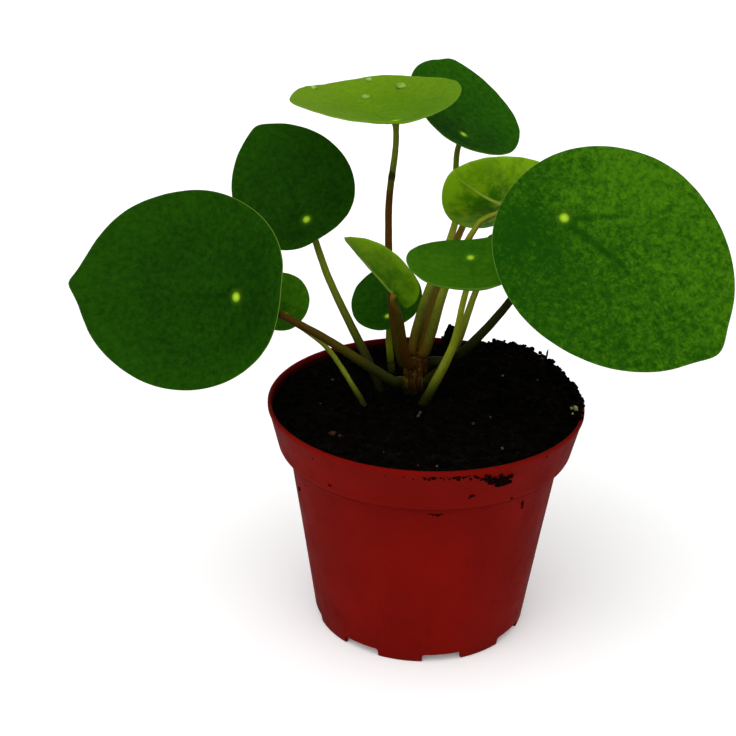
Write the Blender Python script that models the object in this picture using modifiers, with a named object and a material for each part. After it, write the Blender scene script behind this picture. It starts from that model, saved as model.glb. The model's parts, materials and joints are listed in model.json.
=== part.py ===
"""A young Chinese money plant (Pilea peperomioides) in a red plastic nursery pot.

Metres, +Z up, at real size. The origin is the middle of the pot's underside, on the surface that
the pot stands on, and -Y is the plant's front. Each leaf is two pieces: a round blade, and the
stalk that meets it from below at the spot. The stalks spring from a short stem or from the soil.
"""

import math
from dataclasses import dataclass

import bmesh
import bpy
from mathutils import Matrix, Vector
from mathutils.geometry import interpolate_bezier

GAP = 0.0003  # clearance between neighbouring pieces

# Pot: a 9 cm nursery pot, a tapered wall below a wider band
POT_HEIGHT = 0.0685
POT_RADIUS = 0.045
BAND_HEIGHT = 0.013
BAND_FOOT_RADIUS = 0.042
WALL_TOP = 0.0532
WALL_TOP_RADIUS = 0.0387
FOOT_RADIUS = 0.0309
WALL = 0.001
FLOOR = 0.0012
LIP_HEIGHT = 0.0011
LIP_PROUD = 0.0003
HUB_RADIUS = 0.014  # the part of the floor that touches the ground
CHANNEL_HEIGHT = 0.0022  # how far the rest of the floor is raised
POT_SIDES = 48
NOTCHES = 8
NOTCH_SIZE = (0.006, 0.0115, 0.0026)  # radial, tangential, height
NOTCH_TURN = 11  # degrees from the front to the nearest notch
DRAIN_RADIUS = 0.0025
DRAIN_CIRCLE = 0.0225

# Soil, heaped against the back right of the rim
SOIL_LEVEL = 0.0664
SOIL_SIDES = 72
SOIL_RINGS = 16
SOIL_CLEARANCE = GAP + 0.0001  # the pot's flat sides come a little inside their radius
HEAP_RISE = 0.0053
HEAP_WAY = 38  # degrees from +X
HEAP_SPREAD = 34
HEAP_REACH = 0.041
BUMPS = [
    # x, y, rise, spread
    (-0.0040, 0.0080, -0.0008, 0.0100),
    (0.0082, 0.0395, 0.0078, 0.0022),
    (0.0030, 0.0370, 0.0014, 0.0020),
    (0.0240, 0.0310, 0.0010, 0.0030),
    (0.0345, 0.0180, 0.0010, 0.0030),
    (-0.0200, 0.0270, 0.0010, 0.0034),
    (-0.0280, -0.0080, 0.0009, 0.0032),
    (0.0120, -0.0260, 0.0009, 0.0030),
    (0.0270, -0.0120, 0.0011, 0.0034),
    (-0.0100, -0.0240, 0.0008, 0.0030),
]

# Stem
STEM_PATH = [(-0.0037, 0.0120, 0.0580), (-0.0032, 0.0120, 0.0660), (-0.0022, 0.0122, 0.0770)]
STEM_RADII = (0.0030, 0.0030, 0.0028)
STEM_RINGS = 6

# Blades and stalks
BLADE_THICKNESS = 0.00065
STALK_TOP_GAP = 0.0005  # from the stalk to the blade's underside
TIP_SPREAD = 0.2  # radians either side of the midline that the point takes up
FOLD_SOFTNESS = 0.05  # rounding of the fold along the midline, as a share of the width
STALK_STEPS = 16
HOLE_DEPTH_BELOW_STALK = 0.001


@dataclass
class Leaf:
    """One leaf. A blade is laid out level, its spot at the origin and its tip along +X, then placed."""

    name: str
    spot: tuple  # where stalk and blade meet
    faces: tuple  # azimuth and elevation of the way the upper side faces, degrees
    turn: float  # turn of the tip away from straight downhill, degrees
    length: float
    width: float
    back: float  # share of the length that lies behind the spot
    point: float  # how far the tip stands out, as a share of the length
    egg: float  # how much wider the half behind the spot is
    lift: float  # rise of the edge all round
    fold: float  # rise of the two sides from the midline
    curl: float  # rise of the tip and drop of the base
    wave: float  # height of the waves along the edge
    root: tuple  # where the stalk starts
    bends: list  # points that the stalk passes through
    radii: tuple  # of the stalk, evenly spaced from its root to the blade
    spokes: int
    rings: int
    colour: tuple
    stalk: tuple  # its colour


DARK = (0.030, 0.110, 0.012)
MID = (0.050, 0.160, 0.012)
LIGHT = (0.150, 0.300, 0.020)
OLIVE = (0.120, 0.150, 0.015)
RUSSET = (0.160, 0.060, 0.015)

LEAVES = [
    Leaf(
        name="front_left", spot=(-0.0520, -0.0139, 0.1056), faces=(-125, 25), turn=-77,
        length=0.0595, width=0.0546, back=0.28, point=0.023, egg=-0.05, lift=0.28, fold=-0.24,
        curl=-0.07, wave=0.0003, root=(-0.0072, 0.0098, 0.0690),
        bends=[(-0.0100, 0.0000, 0.0740), (-0.0320, -0.0060, 0.0910)],
        radii=(0.0013, 0.00125, 0.0010, 0.0008), spokes=48, rings=4, colour=DARK, stalk=OLIVE,
    ),
    Leaf(
        name="upper_left", spot=(-0.0348, 0.0325, 0.1111), faces=(-111, 44), turn=-137,
        length=0.0399, width=0.0367, back=0.21, point=0.021, egg=0.02, lift=0.13, fold=-0.26,
        curl=0.02, wave=0.0002, root=(-0.0118, 0.0086, 0.0620),
        bends=[(-0.0145, 0.0135, 0.0690), (-0.0285, 0.0290, 0.0930)],
        radii=(0.0011, 0.0011, 0.0009, 0.0008), spokes=40, rings=4, colour=DARK, stalk=OLIVE,
    ),
    Leaf(
        name="low_left", spot=(-0.0399, 0.0019, 0.0924), faces=(-108, 42), turn=-150,
        length=0.0176, width=0.0162, back=0.25, point=0.020, egg=0.0, lift=0.02, fold=0.01,
        curl=0.0, wave=0.0002, root=(-0.0152, -0.0012, 0.0620),
        bends=[(-0.0200, 0.0010, 0.0700), (-0.0286, 0.0055, 0.0814)],
        radii=(0.0009, 0.0008, 0.0007, 0.0006), spokes=28, rings=3, colour=MID, stalk=LIGHT,
    ),
    Leaf(
        name="top", spot=(-0.0102, 0.0190, 0.1438), faces=(135, 80), turn=-21,
        length=0.0513, width=0.0479, back=0.20, point=0.041, egg=0.15, lift=0.14, fold=0.15,
        curl=-0.03, wave=0.0003, root=(-0.0069, 0.0129, 0.0740),
        bends=[(-0.0105, 0.0140, 0.0960), (-0.0115, 0.0200, 0.1190)],
        radii=(0.0013, 0.0010, 0.0009, 0.0007), spokes=48, rings=4, colour=LIGHT, stalk=RUSSET,
    ),
    Leaf(
        name="top_right", spot=(0.0117, 0.0488, 0.1324), faces=(-29, 61), turn=136,
        length=0.0403, width=0.0375, back=0.26, point=0.029, egg=0.06, lift=0.19, fold=-0.02,
        curl=-0.1, wave=0.0002, root=(-0.0038, 0.0121, 0.0780),
        bends=[(-0.0005, 0.0195, 0.0905), (0.0085, 0.0370, 0.1090)],
        radii=(0.0013, 0.0012, 0.0010, 0.0007), spokes=40, rings=4, colour=DARK, stalk=OLIVE,
    ),
    Leaf(
        name="back_right", spot=(0.0212, 0.0250, 0.1185), faces=(113, 35), turn=119,
        length=0.0342, width=0.0315, back=0.48, point=0.0, egg=0.07, lift=0.34, fold=-0.07,
        curl=0.14, wave=0.0002, root=(-0.0003, 0.0110, 0.0780),
        bends=[(0.0055, 0.0155, 0.0975), (0.0140, 0.0190, 0.1145)],
        radii=(0.0012, 0.0011, 0.0010, 0.0008), spokes=40, rings=4, colour=LIGHT, stalk=OLIVE,
    ),
    Leaf(
        name="centre", spot=(-0.0094, 0.0005, 0.0997), faces=(40, 35), turn=155,
        length=0.0267, width=0.0246, back=0.19, point=0.0, egg=0.1, lift=0.03, fold=0.34,
        curl=-0.02, wave=0.0002, root=(-0.0050, 0.0082, 0.0756),
        bends=[(-0.0082, 0.0025, 0.0930)],
        radii=(0.0013, 0.0011, 0.0008), spokes=32, rings=4, colour=LIGHT, stalk=RUSSET,
    ),
    Leaf(
        name="low_centre", spot=(-0.0111, 0.0220, 0.0844), faces=(-121, 59), turn=-149,
        length=0.0237, width=0.0217, back=0.20, point=0.020, egg=0.0, lift=0.05, fold=-0.11,
        curl=-0.01, wave=0.0002, root=(-0.0090, 0.0241, 0.0620),
        bends=[(-0.0105, 0.0240, 0.0755)],
        radii=(0.0011, 0.0010, 0.0008), spokes=28, rings=3, colour=DARK, stalk=LIGHT,
    ),
    Leaf(
        name="centre_right", spot=(0.0107, -0.0032, 0.1121), faces=(-107, 68), turn=19,
        length=0.0365, width=0.0338, back=0.19, point=0.017, egg=0.25, lift=0.3, fold=0.14,
        curl=0.05, wave=0.0002, root=(-0.0022, 0.0022, 0.0620),
        bends=[(0.0070, 0.0030, 0.0825), (0.0090, 0.0000, 0.0955)],
        radii=(0.0015, 0.0013, 0.0009, 0.0008), spokes=40, rings=4, colour=MID, stalk=LIGHT,
    ),
    Leaf(
        name="front_right", spot=(0.0328, -0.0212, 0.1299), faces=(-89, 40), turn=47,
        length=0.0649, width=0.0566, back=0.24, point=0.041, egg=0.06, lift=-0.01, fold=0.13,
        curl=0.01, wave=0.0003, root=(0.0015, 0.0102, 0.0700),
        bends=[(0.0160, 0.0005, 0.0897), (0.0283, -0.0070, 0.1118)],
        radii=(0.0015, 0.0013, 0.0010, 0.0009), spokes=48, rings=4, colour=MID, stalk=OLIVE,
    ),
    Leaf(
        name="right_young", spot=(0.0227, 0.0180, 0.1093), faces=(-70, 70), turn=20,
        length=0.0220, width=0.0200, back=0.24, point=0.020, egg=0.05, lift=0.10, fold=0.10,
        curl=0.0, wave=0.0002, root=(0.0018, 0.0141, 0.0735),
        bends=[(0.0070, 0.0135, 0.0750), (0.0155, 0.0195, 0.0970)],
        radii=(0.0010, 0.0010, 0.0009, 0.0007), spokes=28, rings=3, colour=DARK, stalk=OLIVE,
    ),
    Leaf(
        name="back_young", spot=(0.0183, 0.0510, 0.1147), faces=(80, 50), turn=60,
        length=0.0170, width=0.0156, back=0.22, point=0.020, egg=0.05, lift=0.10, fold=0.10,
        curl=0.0, wave=0.0002, root=(-0.0015, 0.0146, 0.0784),
        bends=[(0.0020, 0.0265, 0.0880), (0.0120, 0.0460, 0.1060)],
        radii=(0.0012, 0.0010, 0.0009, 0.0007), spokes=28, rings=3, colour=MID, stalk=RUSSET,
    ),
]


def clear_scene():
    for obj in list(bpy.data.objects):
        bpy.data.objects.remove(obj, do_unlink=True)


def new_collection(name):
    collection = bpy.data.collections.new(name)
    bpy.context.scene.collection.children.link(collection)
    return collection


def principled(name, colour, roughness, metallic=0.0):
    material = bpy.data.materials.new(name)
    material.use_nodes = True
    shader = material.node_tree.nodes["Principled BSDF"]
    shader.inputs["Base Color"].default_value = (*colour, 1.0)
    shader.inputs["Roughness"].default_value = roughness
    shader.inputs["Metallic"].default_value = metallic
    return material


def mesh_object(name, mesh, collection, material=None):
    obj = bpy.data.objects.new(name, mesh)
    collection.objects.link(obj)
    if material:
        mesh.materials.append(material)
    return obj


def mesh_from(name, bm):
    bmesh.ops.recalc_face_normals(bm, faces=bm.faces)
    mesh = bpy.data.meshes.new(name)
    bm.to_mesh(mesh)
    bm.free()
    return mesh


def profile_mesh(name, profile):
    """An open outline in the XZ plane, to be turned round Z."""
    bm = bmesh.new()
    points = [bm.verts.new((radius, 0.0, height)) for radius, height in profile]
    for start, end in zip(points, points[1:]):
        bm.edges.new((start, end))
    mesh = bpy.data.meshes.new(name)
    bm.to_mesh(mesh)
    bm.free()
    return mesh


def turn_modifier(obj, sides):
    screw = obj.modifiers.new("Turn", "SCREW")
    screw.steps = sides
    screw.render_steps = sides
    screw.use_merge_vertices = True
    screw.merge_threshold = 0.00001
    screw.use_smooth_shade = True


def cut(obj, cutter):
    boolean = obj.modifiers.new("Cut " + cutter.name, "BOOLEAN")
    boolean.operation = "DIFFERENCE"
    boolean.solver = "EXACT"
    boolean.object = cutter


def as_cutter(obj):
    obj.hide_render = True
    obj.display_type = "WIRE"
    return obj


def wall_radius(height):
    """Outer radius of the tapered wall below the band."""
    return FOOT_RADIUS + (WALL_TOP_RADIUS - FOOT_RADIUS) * height / WALL_TOP


def pot_profile():
    """From the middle of the inner floor, up the inside, over the rim, down and back underneath."""
    band_foot = POT_HEIGHT - BAND_HEIGHT
    raised = CHANNEL_HEIGHT + FLOOR
    step = FLOOR * 0.8
    return [
        (0.0, FLOOR),
        (HUB_RADIUS - step, FLOOR),
        (HUB_RADIUS + 0.0002, raised),
        (wall_radius(raised) - WALL, raised),
        (WALL_TOP_RADIUS - WALL, WALL_TOP),
        (WALL_TOP_RADIUS - WALL + 0.0009, WALL_TOP + 0.0010),
        (BAND_FOOT_RADIUS - WALL - 0.0010, band_foot + 0.0004),
        (BAND_FOOT_RADIUS - WALL, band_foot + 0.0014),
        (POT_RADIUS - WALL, POT_HEIGHT - 0.0003),
        (POT_RADIUS - WALL + 0.0003, POT_HEIGHT),
        (POT_RADIUS - 0.0003, POT_HEIGHT),
        (POT_RADIUS, POT_HEIGHT - 0.0003),
        (POT_RADIUS, POT_HEIGHT - LIP_HEIGHT),
        (POT_RADIUS - LIP_PROUD, POT_HEIGHT - LIP_HEIGHT - 0.0003),
        (BAND_FOOT_RADIUS, band_foot + 0.0005),
        (BAND_FOOT_RADIUS - 0.0004, band_foot),
        (BAND_FOOT_RADIUS - 0.0012, band_foot - 0.0003),
        (WALL_TOP_RADIUS + 0.0018, WALL_TOP + 0.0008),
        (WALL_TOP_RADIUS + 0.0004, WALL_TOP),
        (WALL_TOP_RADIUS, WALL_TOP - 0.0012),
        (FOOT_RADIUS + 0.0001, 0.0006),
        (FOOT_RADIUS - 0.0003, 0.0),
        (FOOT_RADIUS - WALL, 0.0),
        (wall_radius(CHANNEL_HEIGHT) - WALL - 0.0006, CHANNEL_HEIGHT),
        (HUB_RADIUS + step, CHANNEL_HEIGHT),
        (HUB_RADIUS, 0.0),
        (0.0, 0.0),
    ]


def add_pot(parts, cutters):
    plastic = principled("red plastic", (0.220, 0.010, 0.008), 0.45)
    pot = mesh_object("pot", profile_mesh("pot", pot_profile()), parts, plastic)
    turn_modifier(pot, POT_SIDES)
    radial, across, height = NOTCH_SIZE
    for index in range(NOTCHES):
        angle = math.radians(-90 + NOTCH_TURN + 360 * index / NOTCHES)
        outward = Vector((math.cos(angle), math.sin(angle), 0.0))
        bm = bmesh.new()
        bmesh.ops.create_cube(bm, size=1.0, matrix=Matrix.Diagonal((radial, across, 2 * height, 1.0)))
        notch = as_cutter(mesh_object(f"notch_{index + 1}", mesh_from("notch", bm), cutters))
        notch.location = outward * (FOOT_RADIUS - 0.0018 + radial / 2)
        notch.rotation_euler.z = angle
        cut(pot, notch)
        bm = bmesh.new()
        bmesh.ops.create_cone(
            bm, cap_ends=True, segments=12, radius1=DRAIN_RADIUS, radius2=DRAIN_RADIUS, depth=0.01
        )
        drain = as_cutter(mesh_object(f"drain_{index + 1}", mesh_from("drain", bm), cutters))
        drain.location = outward * DRAIN_CIRCLE
        cut(pot, drain)


def bump(x, y, middle_x, middle_y, rise, spread):
    distance = math.hypot(x - middle_x, y - middle_y)
    return rise * math.exp(-((distance / spread) ** 2))


def soil_height(x, y):
    """Height of the soil's surface: loose crumbs, lumps, and the heap."""
    crumbs = 0.00028 * math.sin(x * 1150 + 1.3) * math.cos(y * 980 + 0.4)
    crumbs += 0.00022 * math.sin(x * 620 - y * 1700) + 0.00018 * math.cos(x * 1900 + y * 760)
    off_way = (math.degrees(math.atan2(y, x)) - HEAP_WAY) / HEAP_SPREAD
    heap = HEAP_RISE * (math.hypot(x, y) / HEAP_REACH) ** 1.5 * math.exp(-(off_way**2))
    return SOIL_LEVEL + crumbs + heap + sum(bump(x, y, *sizes) for sizes in BUMPS)


def soil_profile():
    """From the middle of the top, out in even rings and down beside the pot's inside."""
    band_foot = POT_HEIGHT - BAND_HEIGHT
    raised = CHANNEL_HEIGHT + FLOOR + GAP
    inset = WALL + SOIL_CLEARANCE
    top_radius = BAND_FOOT_RADIUS - inset + (POT_RADIUS - BAND_FOOT_RADIUS) * 0.8
    top = [(top_radius * ring / SOIL_RINGS, SOIL_LEVEL) for ring in range(SOIL_RINGS + 1)]
    return top + [
        (BAND_FOOT_RADIUS - inset - 0.0001, band_foot + 0.0020),
        (WALL_TOP_RADIUS - inset, WALL_TOP + 0.0012),
        (WALL_TOP_RADIUS - inset - 0.0001, WALL_TOP - 0.0004),
        (wall_radius(raised) - inset - 0.0001, raised),
        (HUB_RADIUS - 0.0002, raised),
        (HUB_RADIUS - 0.0014, FLOOR + GAP),
        (0.0, FLOOR + GAP),
    ]


def add_soil(parts):
    bm = bmesh.new()
    points = [bm.verts.new((radius, 0.0, height)) for radius, height in soil_profile()]
    edges = [bm.edges.new(pair) for pair in zip(points, points[1:])]
    bmesh.ops.spin(
        bm, geom=points + edges, axis=(0, 0, 1), angle=2 * math.pi, steps=SOIL_SIDES, use_merge=True
    )
    bmesh.ops.remove_doubles(bm, verts=bm.verts, dist=0.000001)
    for point in bm.verts:
        if point.co.z > SOIL_LEVEL - 0.00001:
            point.co.z = soil_height(point.co.x, point.co.y)
    bmesh.ops.triangulate(bm, faces=bm.faces)
    peat = principled("peat", (0.010, 0.007, 0.005), 0.95)
    return mesh_object("soil", mesh_from("soil", bm), parts, peat)


def tube(name, path, radii, collection, material=None, thicker=0.0):
    """A round bar along a path, its radius running evenly between the radii that are given."""
    curve = bpy.data.curves.new(name, "CURVE")
    curve.dimensions = "3D"
    curve.bevel_depth = 1.0
    curve.bevel_resolution = 2
    curve.use_fill_caps = True
    spline = curve.splines.new("POLY")
    spline.points.add(len(path) - 1)
    for index, (point, place) in enumerate(zip(spline.points, path)):
        along = index / (len(path) - 1) * (len(radii) - 1)
        start = min(int(along), len(radii) - 2)
        radius = radii[start] + (radii[start + 1] - radii[start]) * (along - start)
        point.co = (*place, 1.0)
        point.radius = radius + thicker
    obj = bpy.data.objects.new(name, curve)
    collection.objects.link(obj)
    if material:
        curve.materials.append(material)
    return obj


def to_mesh_object(obj, collection):
    """Swaps a curve object for a mesh object of the same form, with its caps joined on."""
    bpy.context.view_layer.update()
    mesh = bpy.data.meshes.new_from_object(obj.evaluated_get(bpy.context.evaluated_depsgraph_get()))
    bm = bmesh.new()
    bm.from_mesh(mesh)
    bmesh.ops.remove_doubles(bm, verts=bm.verts, dist=0.00001)
    bm.to_mesh(mesh)
    bm.free()
    name, place = obj.name, obj.matrix_world.copy()
    bpy.data.objects.remove(obj, do_unlink=True)
    made = mesh_object(name, mesh, collection)
    made.matrix_world = place
    return made


def smooth_path(knots, end_way, steps):
    """Points on a smooth curve through the knots that ends along end_way."""
    knots = [Vector(knot) for knot in knots]
    ways = [knots[1] - knots[0]]
    ways += [after - before for before, after in zip(knots, knots[2:])]
    ways = [way.normalized() for way in ways] + [end_way]
    path = []
    for start, end, leave, arrive in zip(knots, knots[1:], ways, ways[1:]):
        reach = (end - start).length / 3
        span = interpolate_bezier(start, start + leave * reach, end - arrive * reach, end, steps)
        path += span[:-1]
    return path + [knots[-1]]


def blade_place(leaf):
    azimuth, elevation = leaf.faces
    return (
        Matrix.Translation(leaf.spot)
        @ Matrix.Rotation(math.radians(azimuth), 4, "Z")
        @ Matrix.Rotation(math.radians(90 - elevation), 4, "Y")
        @ Matrix.Rotation(math.radians(leaf.turn), 4, "Z")
    )


def stalk_path(leaf, steps):
    """From the root to just under the blade, which it meets square on."""
    upward = (blade_place(leaf).to_3x3() @ Vector((0, 0, 1))).normalized()
    end = Vector(leaf.spot) - upward * (BLADE_THICKNESS / 2 + STALK_TOP_GAP)
    knots = [leaf.root, *leaf.bends, end]
    return smooth_path(knots, upward, steps // (len(knots) - 1) + 1)


def blade_point(leaf, reach, angle):
    """A point of the blade's middle surface; reach is 0 at the spot and 1 at the edge."""
    half_length, half_width = leaf.length / 2, leaf.width / 2
    tip = leaf.point * leaf.length * math.exp(-((angle / TIP_SPREAD) ** 2))
    ahead = half_length * (1 + math.cos(angle)) - leaf.back * leaf.length + tip
    x = reach * ahead
    y = reach * half_width * math.sin(angle) * (1 - leaf.egg * math.cos(angle))
    soft = FOLD_SOFTNESS * leaf.width
    z = leaf.lift * (x * x + y * y) / half_length
    z += leaf.fold * (math.hypot(y, soft) - soft)
    z += leaf.curl * x * abs(x) / leaf.length
    z += leaf.wave * reach**4 * math.sin(5 * angle + 90 * leaf.length)
    return Vector((x, y, z))


def add_blade(leaf, parts):
    """A flat disc of rings and spokes round the spot, bent to the blade's form and thickened."""
    bm = bmesh.new()
    spoke = [bm.verts.new((ring / leaf.rings, 0.0, 0.0)) for ring in range(leaf.rings + 1)]
    edges = [bm.edges.new(pair) for pair in zip(spoke, spoke[1:])]
    bmesh.ops.spin(
        bm, geom=spoke + edges, axis=(0, 0, 1), angle=2 * math.pi, steps=leaf.spokes, use_merge=True
    )
    bmesh.ops.remove_doubles(bm, verts=bm.verts, dist=0.0001)
    bmesh.ops.triangulate(bm, faces=bm.faces)
    for point in bm.verts:
        reach, angle = math.hypot(point.co.x, point.co.y), math.atan2(point.co.y, point.co.x)
        point.co = blade_point(leaf, reach, angle)
    mesh = mesh_from("blade_" + leaf.name, bm)
    mesh.shade_smooth()
    blade = mesh_object(
        "blade_" + leaf.name, mesh, parts, principled("blade " + leaf.name, leaf.colour, 0.4)
    )
    blade.matrix_world = blade_place(leaf)
    thicken = blade.modifiers.new("Thicken", "SOLIDIFY")
    thicken.thickness = BLADE_THICKNESS
    thicken.offset = 0.0


def add_stalk(leaf, parts, cutters, soil):
    material = principled("stalk " + leaf.name, leaf.stalk, 0.5)
    path = stalk_path(leaf, STALK_STEPS)
    tube("stalk_" + leaf.name, path, leaf.radii, parts, material)
    if path[0].z < SOIL_LEVEL:
        drop = (path[0] - path[1]).normalized() * HOLE_DEPTH_BELOW_STALK
        hole = tube("hole_" + leaf.name, [path[0] + drop, *path], leaf.radii, cutters, thicker=GAP)
        cut(soil, as_cutter(to_mesh_object(hole, cutters)))


def add_stem(parts, cutters, soil):
    bark = principled("stem bark", (0.120, 0.055, 0.020), 0.8)
    way = (Vector(STEM_PATH[-1]) - Vector(STEM_PATH[-2])).normalized()
    path = smooth_path(STEM_PATH, way, STEM_RINGS)
    tube("stem", path, STEM_RADII, parts, bark)
    drop = (path[0] - path[1]).normalized() * HOLE_DEPTH_BELOW_STALK
    hole = tube("hole_stem", [path[0] + drop, *path], STEM_RADII, cutters, thicker=GAP)
    cut(soil, as_cutter(to_mesh_object(hole, cutters)))


def build():
    clear_scene()
    parts = new_collection("potted chinese money plant")
    cutters = new_collection("cutters")
    add_pot(parts, cutters)
    soil = add_soil(parts)
    add_stem(parts, cutters, soil)
    for leaf in LEAVES:
        add_blade(leaf, parts)
        add_stalk(leaf, parts, cutters, soil)


build()
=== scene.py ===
"""The looks of the potted Chinese money plant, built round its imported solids.

Every solid is replaced by a finer piece of the same form. Each leaf blade and stalk repeats the
formula that shapes its solid, with veins, a rounded edge and grown-in ends added. The stem gets
scars, the soil crumbs, fibres and grit, and the pot its fine profile and smears of soil. The
topmost leaf carries drops of water.
"""

import json
import math
import random
from dataclasses import dataclass
from types import SimpleNamespace

import bmesh
import bpy
import numpy as np
from mathutils import Matrix, Vector, noise
from mathutils.geometry import interpolate_bezier


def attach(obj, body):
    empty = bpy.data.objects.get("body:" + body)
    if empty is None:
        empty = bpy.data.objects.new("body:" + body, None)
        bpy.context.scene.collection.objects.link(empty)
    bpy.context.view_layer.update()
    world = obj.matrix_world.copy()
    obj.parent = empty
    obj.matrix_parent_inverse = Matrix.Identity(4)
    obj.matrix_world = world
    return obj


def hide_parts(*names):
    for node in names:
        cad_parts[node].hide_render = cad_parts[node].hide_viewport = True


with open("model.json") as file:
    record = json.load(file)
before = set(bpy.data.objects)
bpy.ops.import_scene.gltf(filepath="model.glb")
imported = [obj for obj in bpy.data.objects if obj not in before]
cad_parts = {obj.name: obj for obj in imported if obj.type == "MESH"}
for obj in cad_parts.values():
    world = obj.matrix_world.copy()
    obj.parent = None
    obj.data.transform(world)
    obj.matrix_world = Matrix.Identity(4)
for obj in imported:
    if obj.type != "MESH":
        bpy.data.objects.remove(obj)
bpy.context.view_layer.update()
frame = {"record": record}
SLOT_OF = {part["node"]: part["material_slot"] for part in frame["record"]["subparts"]}

MM = 0.001

# Camera: its distance from the point that it looks at, and how it is turned, degrees
CAMERA_TARGET = (-0.0166, 0.0, 0.0776)
CAMERA_DISTANCE = 0.424
CAMERA_ELEVATION = 24.1
CAMERA_ROLL = 1.0
CAMERA_LENS = 73.4

# Pot, with the sizes of its solid
POT_HEIGHT = 0.0685
POT_RADIUS = 0.045
BAND_HEIGHT = 0.013
BAND_FOOT_RADIUS = 0.042
WALL_TOP = 0.0532
WALL_TOP_RADIUS = 0.0387
FOOT_RADIUS = 0.0309
WALL = 0.001
FLOOR = 0.0012
LIP_HEIGHT = 0.0011
LIP_PROUD = 0.0003
HUB_RADIUS = 0.014  # the part of the floor that touches the ground
CHANNEL_HEIGHT = 0.0022  # how far the rest of the floor is raised
POT_SIDES = 160
NOTCHES = 8
NOTCH_SIZE = (0.006, 0.0115, 0.0026)  # radial, tangential, height
NOTCH_TURN = 11  # degrees from the front to the nearest notch
NOTCH_DEPTH = 0.0018
DRAIN_RADIUS = 0.0025
DRAIN_CIRCLE = 0.0225

# Soil
SOIL_LEVEL = 0.0664
SOIL_SIDES = 320
SOIL_RINGS = 92
HEAP_RISE = 0.0053
HEAP_WAY = 38  # degrees from +X
HEAP_SPREAD = 34
HEAP_REACH = 0.041
CRUMBS = 1300
HEAP_CLODS = 130
EDGE_CLODS = 90
LIP_CLODS = 80
FIBRES = 150
BUMPS = [
    # x, y, rise, spread
    (-0.0040, 0.0080, -0.0008, 0.0100),
    (0.0082, 0.0395, 0.0078, 0.0022),
    (0.0030, 0.0370, 0.0014, 0.0020),
    (0.0240, 0.0310, 0.0010, 0.0030),
    (0.0345, 0.0180, 0.0010, 0.0030),
    (-0.0200, 0.0270, 0.0010, 0.0034),
    (-0.0280, -0.0080, 0.0009, 0.0032),
    (0.0120, -0.0260, 0.0009, 0.0030),
    (0.0270, -0.0120, 0.0011, 0.0034),
    (-0.0100, -0.0240, 0.0008, 0.0030),
]

# Stem
STEM_PATH = [(-0.0037, 0.0120, 0.0580), (-0.0032, 0.0120, 0.0660), (-0.0022, 0.0122, 0.0770)]
STEM_RADIUS = 0.0033

# Blades and stalks
BLADE_THICKNESS = 0.00065
TIP_SPREAD = 0.2  # radians either side of the midline that the point takes up
FOLD_SOFTNESS = 0.05  # rounding of the fold along the midline, as a share of the width
MAIN_VEINS = 8
VEIN_BEND = 0.18  # how far the main veins turn towards the tip
RING_STEP = 0.0011  # blade length that adds one ring of points, and one that adds four spokes
SPOKE_STEP = 0.0014
EDGE_START = 0.965  # share of the reach at which the rounding of the edge begins
EDGE_RINGS = (0.982, 0.993, 0.998)
VEIN_SUNK = 0.00010  # depth of the main veins above, and their height underneath
VEIN_PROUD = 0.00022
RIPPLE = 0.0022  # unevenness of the outline, as a share of the reach
DRIFT = 0.00006  # slow unevenness of the whole sheet
STALK_SIDES = 18
STALK_DROP = 0.0014  # how far below its root a stalk springs from the middle of the stem
STEM_SIDES = 72
STEM_DOME = 0.0026  # height of the stem's rounded end
STEM_SCARS = [
    # height, turn, rise
    (0.0686, 0.6, 0.00012),
    (0.0702, 2.6, -0.00016),
    (0.0718, 4.4, 0.0001),
    (0.0738, 1.4, -0.0001),
]

# Colours of stalks, as linear red, green and blue
PITCH = (0.006, 0.006, 0.001)
MOSS = (0.022, 0.026, 0.002)
UMBER = (0.018, 0.013, 0.001)
HAZEL = (0.050, 0.040, 0.0015)
CHESTNUT = (0.058, 0.032, 0.003)
RUSSET = (0.068, 0.026, 0.001)
TAN = (0.110, 0.075, 0.005)
OLIVE = (0.075, 0.088, 0.004)
LIME = (0.115, 0.150, 0.006)
STRAW = (0.170, 0.200, 0.012)
# Painted light: a pale colour raised to light up stalk parts that lie in the shade of a blade
PAINTED_LIGHT_PALE = (0.260, 0.320, 0.012)


@dataclass
class Leaf:
    """The same values as the leaf's solids have, and the finish of its two pieces."""

    name: str
    spot: tuple  # where stalk and blade meet
    faces: tuple  # azimuth and elevation of the way the upper side faces, degrees
    turn: float  # turn of the tip away from straight downhill, degrees
    length: float
    width: float
    back: float  # share of the length that lies behind the spot
    point: float  # how far the tip stands out, as a share of the length
    egg: float  # how much wider the half behind the spot is
    lift: float  # rise of the edge all round
    fold: float  # rise of the two sides from the midline
    curl: float  # rise of the tip and drop of the base
    wave: float  # height of the waves along the edge
    root: tuple  # where the stalk starts
    bends: list  # points that the stalk passes through
    radii: tuple  # of the stalk, evenly spaced from its root to the blade
    blade: str  # dark, mid or light
    stalk: tuple  # colours from the root to the blade
    tone: float = 1.0  # how bright the blade is
    lean: float = 0.0  # how much paler one side is than the other, as painted light and shade
    mottle: float = 1.0  # how strongly the upper side is mottled
    beak: float = 0.0  # how far a narrow tip stands out
    joint: float = 0.0  # share of the stalk at which it has a joint
    spot_shift: tuple = (0.0, 0.0)  # of the pale spot on the blade


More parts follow.
